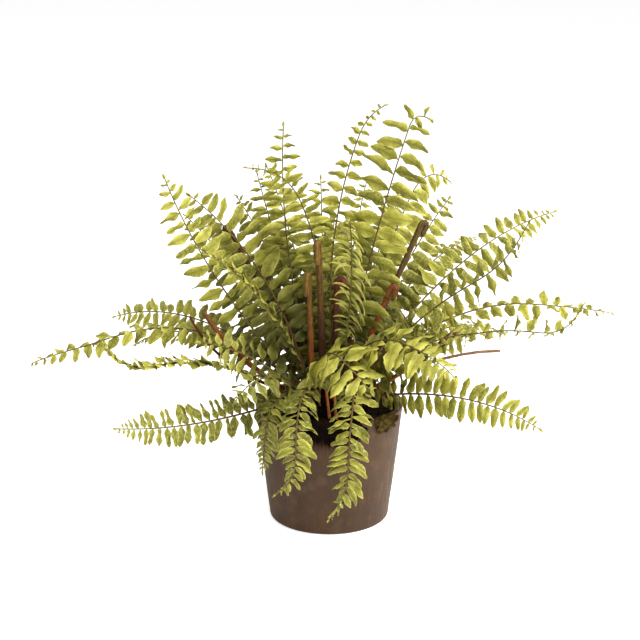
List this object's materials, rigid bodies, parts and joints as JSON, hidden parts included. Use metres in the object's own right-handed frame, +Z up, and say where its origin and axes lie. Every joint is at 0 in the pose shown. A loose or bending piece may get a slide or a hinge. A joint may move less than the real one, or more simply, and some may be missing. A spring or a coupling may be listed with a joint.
{
  "type": "potted fern",
  "caption": "Potted sword fern: arching feather-shaped fronds, rolled young croziers and bare stalks rise from a crown in a plain tapered clay pot of soil, as table decoration.",
  "frame": {"origin": "centre of the pot's flat underside, on the surface it stands on", "axes": "+Z up along the pot's axis; +X to the right as seen from the front, along the plant's widest spread; -Y to the front, where fronds hang over the rim"},
  "size_m": [0.4858, 0.3282, 0.351],
  "materials": {
    "pot_clay": "matte",
    "potting_soil": "matte",
    "crown_fibre": "matte",
    "moss": "matte",
    "frond_leaf": "satin",
    "young_stem": "satin"
  },
  "bodies": {
    "root": {"pot": "pot_clay", "soil": "potting_soil", "crown": "crown_fibre", "root_mat": "crown_fibre", "moss_right": "moss", "frond_tall_right": "frond_leaf", "frond_tall_middle": "frond_leaf", "frond_behind_tall_right": "frond_leaf", "frond_tall_left": "frond_leaf", "frond_left_bending": "frond_leaf", "frond_left_high": "frond_leaf", "frond_middle_back": "frond_leaf", "frond_feathered_front": "frond_leaf", "frond_left_long": "frond_leaf", "frond_left_upright": "frond_leaf", "frond_left_edge": "frond_leaf", "frond_left_arching": "frond_leaf", "frond_far_left": "frond_leaf", "frond_left_low": "frond_leaf", "frond_left_spread": "frond_leaf", "frond_pot_left": "frond_leaf", "frond_pot_middle": "frond_leaf", "frond_pot_right": "frond_leaf", "frond_right_spread": "frond_leaf", "frond_front_right": "frond_leaf", "frond_front_middle": "frond_leaf", "frond_right_rising": "frond_leaf", "frond_right_leaning": "frond_leaf", "frond_far_right": "frond_leaf", "frond_right_low": "frond_leaf", "frond_inner_left": "frond_leaf", "frond_inner_left_low": "frond_leaf", "frond_inner_right": "frond_leaf", "frond_inner_right_low": "frond_leaf", "frond_inner_middle": "frond_leaf", "frond_inner_back_left": "frond_leaf", "frond_inner_back_right": "frond_leaf", "frond_inner_front_left": "frond_leaf", "frond_back_right": "frond_leaf", "frond_back_right_low": "frond_leaf", "frond_back": "frond_leaf", "frond_back_low": "frond_leaf", "frond_back_left": "frond_leaf", "frond_back_left_low": "frond_leaf", "frond_back_tall_right": "frond_leaf", "frond_back_tall_left": "frond_leaf", "frond_pot_back": "frond_leaf", "crozier_front_left": "young_stem", "crozier_front": "young_stem", "crozier_right": "young_stem", "crozier_right_short": "young_stem", "crozier_middle": "young_stem", "crozier_left": "young_stem", "crozier_left_thin": "young_stem", "crozier_left_high": "young_stem", "stalk_bare_right": "young_stem", "crozier_right_low": "young_stem"}
  },
  "joints": []
}
